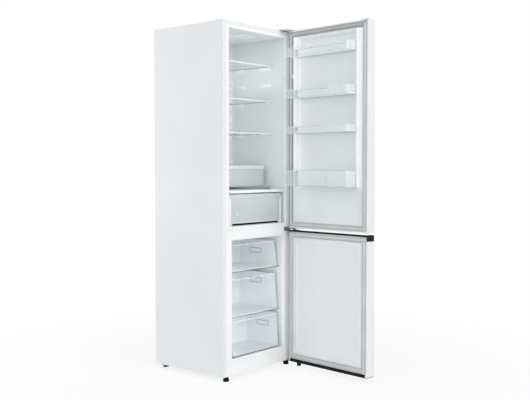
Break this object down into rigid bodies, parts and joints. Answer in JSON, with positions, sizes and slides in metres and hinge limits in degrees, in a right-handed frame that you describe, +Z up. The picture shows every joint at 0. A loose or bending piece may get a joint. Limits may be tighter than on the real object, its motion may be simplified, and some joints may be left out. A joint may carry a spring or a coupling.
{
  "type": "bottom freezer refrigerator",
  "caption": "Tall free-standing refrigerator with a fridge compartment over a freezer, two hinged doors, glass shelves, door bins and pull-out drawers.",
  "frame": {"origin": "on the floor, at the middle of the ground covered with both doors open 84.3 degrees as in the picture", "axes": "+X to the right seen from the front, +Y towards the back, +Z up"},
  "size_m": [0.6096, 1.1756, 2.011],
  "materials": {
    "painted_steel": "satin light grey paint",
    "white_plastic": "smooth white",
    "liner_plastic": "smooth pale grey-white",
    "foam": "pale foam",
    "clear_plastic": "clear, slightly blue",
    "glass": "clear safety glass",
    "black_plastic": "black",
    "dark_trim": "glossy dark grey",
    "gasket": "soft grey",
    "galvanised": "galvanised",
    "black_steel": "black paint",
    "zinc_steel": "zinc plated",
    "aluminium": "mill finish",
    "copper_pipe": "drawn tube",
    "lamp_plastic": "frosted"
  },
  "bodies": {
    "cabinet": {"cabinet_shell": "painted_steel", "back_panel": "painted_steel", "insulation_foam": "foam", "fridge_liner": "liner_plastic", "freezer_liner": "liner_plastic", "front_rails": "white_plastic", "base_plate": "galvanised", "compressor": "black_steel", "drip_tray": "black_plastic", "condenser": "copper_pipe", "evaporator": "aluminium", "evaporator_fan_motor": "black_steel", "freezer_back_cover": "liner_plastic", "fridge_air_duct": "liner_plastic", "lamp_cover": "lamp_plastic", "door_switch_housing": "white_plastic", "top_hinge": "black_steel", "hinge_covers": "white_plastic", "middle_hinge": "black_steel", "bottom_hinge": "black_steel", "cord_gland": "black_plastic", "cabinet_screws": "zinc_steel", "fresh_zone_lid": "white_plastic", "lower_shelf_trim": "dark_trim", "freezer_shelves": "glass"},
    "fridge_door": {"fridge_door_skin": "painted_steel", "fridge_door_foam": "foam", "fridge_door_liner": "liner_plastic", "fridge_door_caps": "white_plastic", "fridge_door_gasket": "gasket"},
    "freezer_door": {"freezer_door_skin": "painted_steel", "freezer_door_foam": "foam", "freezer_door_liner": "liner_plastic", "freezer_door_gasket": "gasket", "freezer_door_handle": "black_plastic", "freezer_door_base": "black_plastic"},
    "crisper_cover": {"crisper_cover_glass": "glass", "crisper_cover_trim": "white_plastic"},
    "crisper": {"crisper_drawer": "clear_plastic"},
    "fresh_drawer": {"fresh_drawer": "clear_plastic", "fresh_drawer_grip": "black_plastic"},
    "fan": {"evaporator_fan": "black_plastic"},
    "switch_plunger": {"door_switch_plunger": "white_plastic"},
    "foot_left": {"levelling_foot_left": "black_plastic"},
    "foot_right": {"levelling_foot_right": "black_plastic"},
    "roller_left": {"rear_roller_left": "black_plastic"},
    "roller_right": {"rear_roller_right": "black_plastic"},
    "shelf_1": {"shelf_glass_1": "glass", "shelf_trim_1": "white_plastic"},
    "freezer_drawer_1": {"freezer_drawer_1": "clear_plastic"},
    "shelf_2": {"shelf_glass_2": "glass", "shelf_trim_2": "white_plastic"},
    "freezer_drawer_2": {"freezer_drawer_2": "clear_plastic"},
    "shelf_3": {"shelf_glass_3": "glass", "shelf_trim_3": "white_plastic"},
    "freezer_drawer_3": {"freezer_drawer_3": "clear_plastic"},
    "door_bin_1": {"door_bin_1": "clear_plastic"},
    "door_bin_2": {"door_bin_2": "clear_plastic"},
    "door_bin_3": {"door_bin_3": "clear_plastic"},
    "door_bin_4": {"door_bin_4": "clear_plastic"}
  },
  "joints": [
    {"name": "fridge_door_hinge", "type": "hinge", "parent": "cabinet", "child": "fridge_door", "pos_m": [0.27622, -0.00693, 1.4], "axis": [0, 0, 1], "range_deg": [-84.3, 35]},
    {"name": "freezer_door_hinge", "type": "hinge", "parent": "cabinet", "child": "freezer_door", "pos_m": [0.27622, -0.00693, 0.42], "axis": [0, 0, 1], "range_deg": [-84.3, 35]},
    {"name": "door_bin_1_lift", "type": "slide", "parent": "fridge_door", "child": "door_bin_1", "axis": [0, 0, 1], "range_m": [0, 0.025]},
    {"name": "door_bin_2_lift", "type": "slide", "parent": "fridge_door", "child": "door_bin_2", "axis": [0, 0, 1], "range_m": [0, 0.025]},
    {"name": "door_bin_3_lift", "type": "slide", "parent": "fridge_door", "child": "door_bin_3", "axis": [0, 0, 1], "range_m": [0, 0.025]},
    {"name": "door_bin_4_lift", "type": "slide", "parent": "fridge_door", "child": "door_bin_4", "axis": [0, 0, 1], "range_m": [0, 0.025]},
    {"name": "shelf_1_slide", "type": "slide", "parent": "cabinet", "child": "shelf_1", "axis": [0, -1, 0], "range_m": [0, 0.12]},
    {"name": "shelf_2_slide", "type": "slide", "parent": "cabinet", "child": "shelf_2", "axis": [0, -1, 0], "range_m": [0, 0.12]},
    {"name": "shelf_3_slide", "type": "slide", "parent": "cabinet", "child": "shelf_3", "axis": [0, -1, 0], "range_m": [0, 0.12]},
    {"name": "crisper_cover_slide", "type": "slide", "parent": "cabinet", "child": "crisper_cover", "axis": [0, -1, 0], "range_m": [0, 0.11]},
    {"name": "crisper_slide", "type": "slide", "parent": "cabinet", "child": "crisper", "axis": [0, -1, 0], "range_m": [0, 0.17]},
    {"name": "fresh_drawer_slide", "type": "slide", "parent": "cabinet", "child": "fresh_drawer", "axis": [0, -1, 0], "range_m": [0, 0.15]},
    {"name": "freezer_drawer_1_slide", "type": "slide", "parent": "cabinet", "child": "freezer_drawer_1", "axis": [0, -1, 0], "range_m": [0, 0.2]},
    {"name": "freezer_drawer_2_slide", "type": "slide", "parent": "cabinet", "child": "freezer_drawer_2", "axis": [0, -1, 0], "range_m": [0, 0.2]},
    {"name": "freezer_drawer_3_slide", "type": "slide", "parent": "cabinet", "child": "freezer_drawer_3", "axis": [0, -1, 0], "range_m": [0, 0.2]},
    {"name": "fan_spin", "type": "hinge", "parent": "cabinet", "child": "fan", "pos_m": [-0.00728, 0.40077, 0.69], "axis": [0, 1, 0], "continuous": true},
    {"name": "switch_plunger_press", "type": "slide", "parent": "cabinet", "child": "switch_plunger", "axis": [0, -1, 0], "range_m": [-0.003, 0], "stiffness_N_per_m": 150, "springref_m": 0.004},
    {"name": "foot_left_turn", "type": "hinge", "parent": "cabinet", "child": "foot_left", "pos_m": [-0.27478, 0.04677, 0], "axis": [0, 0, 1], "continuous": true},
    {"name": "roller_left_spin", "type": "hinge", "parent": "cabinet", "child": "roller_left", "pos_m": [-0.25628, 0.54777, 0.0125], "axis": [1, 0, 0], "continuous": true},
    {"name": "foot_right_turn", "type": "hinge", "parent": "cabinet", "child": "foot_right", "pos_m": [0.26022, 0.04677, 0], "axis": [0, 0, 1], "continuous": true},
    {"name": "roller_right_spin", "type": "hinge", "parent": "cabinet", "child": "roller_right", "pos_m": [0.24172, 0.54777, 0.0125], "axis": [1, 0, 0], "continuous": true}
  ]
}
